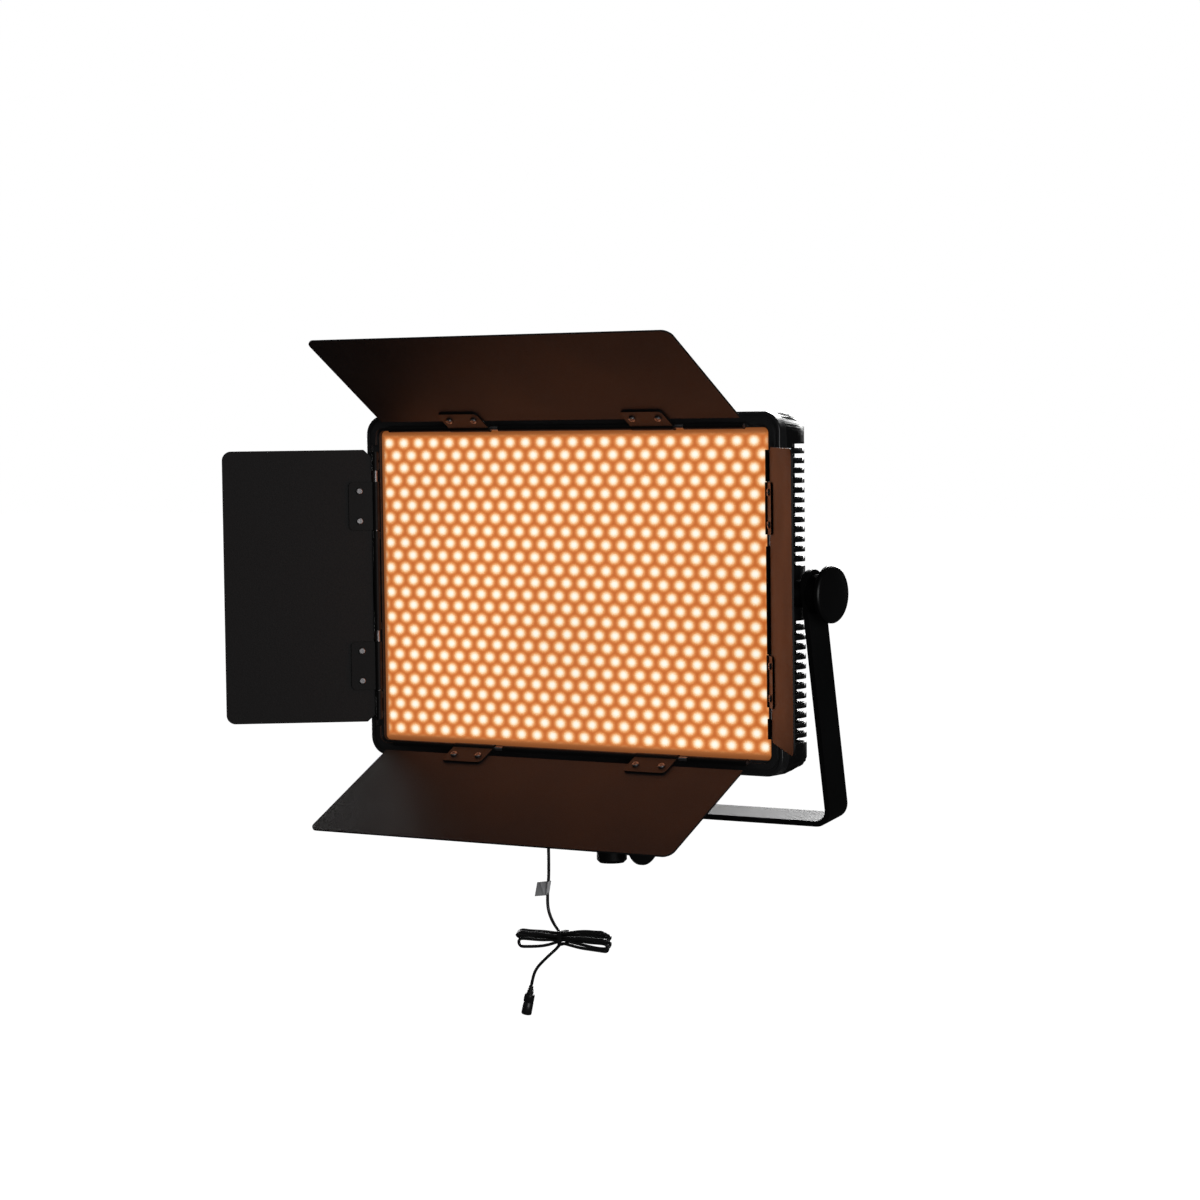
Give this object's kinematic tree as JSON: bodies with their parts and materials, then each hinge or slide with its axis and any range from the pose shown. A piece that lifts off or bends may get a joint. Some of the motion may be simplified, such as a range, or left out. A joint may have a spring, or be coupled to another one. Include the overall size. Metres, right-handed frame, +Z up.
{
  "type": "led panel light",
  "caption": "Studio LED panel light with four folding barn doors on a tilting yoke and a spigot socket for a light stand, with a short power lead.",
  "frame": {"origin": "centre of the stand socket's mouth", "axes": "+Z up along the stand socket, the light shines towards -Y, +X along the panel's width"},
  "size_m": [0.595, 0.2148, 0.592],
  "materials": {
    "aluminium": "milled",
    "black_door": "matte black fine-texture powder coat",
    "black_frame": "satin black powder coat",
    "black_housing": "satin black powder coat",
    "black_screw": "black oxide",
    "black_steel": "satin black paint",
    "board_green": "green solder mask",
    "board_white": "white solder mask",
    "brass": "satin",
    "diffuser": "warm translucent sheet, lit",
    "knob_plastic": "fine-grained black plastic",
    "lead": "satin black vinyl",
    "lens": "clear moulded plastic",
    "rubber": "soft black",
    "steel": "dull zinc-plated steel",
    "tag": "silver-grey film, blank",
    "window": "smoked clear plastic"
  },
  "bodies": {
    "stand_mount": {"stand_socket": "black_steel", "tilt_bolt": "steel"},
    "clamp_knob": {"clamp_knob": "knob_plastic", "clamp_stud": "steel"},
    "thumb_nut": {"tilt_thumb_nut": "knob_plastic"},
    "yoke": {"yoke_strap": "black_steel", "yoke_tongue": "black_steel", "tongue_screws": "black_steel", "lead_drop": "lead", "lead_hank": "lead", "lead_tie": "lead", "lead_tag": "tag", "lead_tail": "lead", "lead_connector": "lead"},
    "right_tilt_knob": {"tilt_knob_right": "knob_plastic", "tilt_stud_right": "steel"},
    "left_tilt_knob": {"tilt_knob_left": "knob_plastic", "tilt_stud_left": "steel"},
    "brightness_dial": {"brightness_dial": "knob_plastic"},
    "colour_dial": {"colour_dial": "knob_plastic"},
    "power_rocker": {"power_rocker": "knob_plastic"},
    "mode_button": {"mode_button": "knob_plastic"},
    "channel_button": {"channel_button": "knob_plastic"},
    "door_top": {"barn_door_top": "black_door", "door_brackets_top": "black_steel", "bracket_screws_top": "steel"},
    "door_right": {"barn_door_right": "black_door", "door_brackets_right": "black_steel", "bracket_screws_right": "steel"},
    "door_bottom": {"barn_door_bottom": "black_door", "door_brackets_bottom": "black_steel", "bracket_screws_bottom": "steel"},
    "door_left": {"barn_door_left": "black_door", "door_brackets_left": "black_steel", "bracket_screws_left": "steel"},
    "panel": {"button_switches": "knob_plastic", "control_board": "board_green", "control_plate": "black_frame", "control_screws": "black_screw", "dial_sensors": "knob_plastic", "diffuser_gasket": "rubber", "diffuser_sheet": "diffuser", "display_module": "knob_plastic", "display_window": "window", "driver_board": "board_green", "driver_components": "knob_plastic", "driver_standoffs": "brass", "front_frame": "black_frame", "heat_spreader": "aluminium", "hinge_pins": "steel", "hinge_tubes": "black_steel", "lead_plug": "lead", "led_board": "board_white", "lens_sheet": "lens", "pivot_spacers": "knob_plastic", "power_inlet": "knob_plastic", "rear_shell": "black_housing", "rocker_frame": "knob_plastic", "spreader_screws": "black_screw"}
  },
  "joints": [
    {"name": "yoke_tilt", "type": "hinge", "parent": "stand_mount", "child": "yoke", "pos_m": [0, 0, 0.03784], "axis": [1, 0, 0], "range_deg": [-27.9, 7]},
    {"name": "panel_tilt", "type": "hinge", "parent": "yoke", "child": "panel", "pos_m": [0, -0.0365, 0.236], "axis": [1, 0, 0], "range_deg": [-90, 24], "deforming": ["lead_drop"]},
    {"name": "clamp_knob_turn", "type": "hinge", "parent": "stand_mount", "child": "clamp_knob", "pos_m": [0.019, 0, 0.0232], "axis": [1, 0, 0], "range_deg": [-720, 0]},
    {"name": "thumb_nut_turn", "type": "hinge", "parent": "stand_mount", "child": "thumb_nut", "pos_m": [-0.019, 0, 0.03784], "axis": [1, 0, 0], "range_deg": [0, 720]},
    {"name": "right_knob_turn", "type": "hinge", "parent": "panel", "child": "right_tilt_knob", "pos_m": [0.232, -0.0365, 0.236], "axis": [1, 0, 0], "range_deg": [-720, 0]},
    {"name": "left_knob_turn", "type": "hinge", "parent": "panel", "child": "left_tilt_knob", "pos_m": [-0.232, -0.0365, 0.236], "axis": [1, 0, 0], "range_deg": [0, 720]},
    {"name": "brightness_turn", "type": "hinge", "parent": "panel", "child": "brightness_dial", "pos_m": [0.046, 0, 0.146], "axis": [0, 1, 0], "range_deg": [-150, 150]},
    {"name": "colour_turn", "type": "hinge", "parent": "panel", "child": "colour_dial", "pos_m": [0.082, 0, 0.146], "axis": [0, 1, 0], "range_deg": [-150, 150]},
    {"name": "power_switch", "type": "hinge", "parent": "panel", "child": "power_rocker", "pos_m": [-0.046, -0.003, 0.144], "axis": [1, 0, 0], "range_deg": [-14, 0]},
    {"name": "mode_press", "type": "slide", "parent": "panel", "child": "mode_button", "axis": [0, -1, 0], "range_m": [0, 0.0012], "stiffness_N_per_m": 300, "springref_m": -0.0005},
    {"name": "channel_press", "type": "slide", "parent": "panel", "child": "channel_button", "axis": [0, -1, 0], "range_m": [0, 0.0012], "stiffness_N_per_m": 300, "springref_m": -0.0005},
    {"name": "door_top_fold", "type": "hinge", "parent": "panel", "child": "door_top", "pos_m": [0, -0.0655, 0.372], "axis": [1, 0, 0], "range_deg": [-53.5, 124.5]},
    {"name": "door_right_fold", "type": "hinge", "parent": "panel", "child": "door_right", "pos_m": [0.204, -0.0615, 0.236], "axis": [0, 0, -1], "range_deg": [-47.5, 130.5]},
    {"name": "door_bottom_fold", "type": "hinge", "parent": "panel", "child": "door_bottom", "pos_m": [0, -0.0655, 0.1], "axis": [-1, 0, 0], "range_deg": [-59, 119]},
    {"name": "door_left_fold", "type": "hinge", "parent": "panel", "child": "door_left", "pos_m": [-0.204, -0.0615, 0.236], "axis": [0, 0, 1], "range_deg": [-39.9, 138.1]}
  ]
}
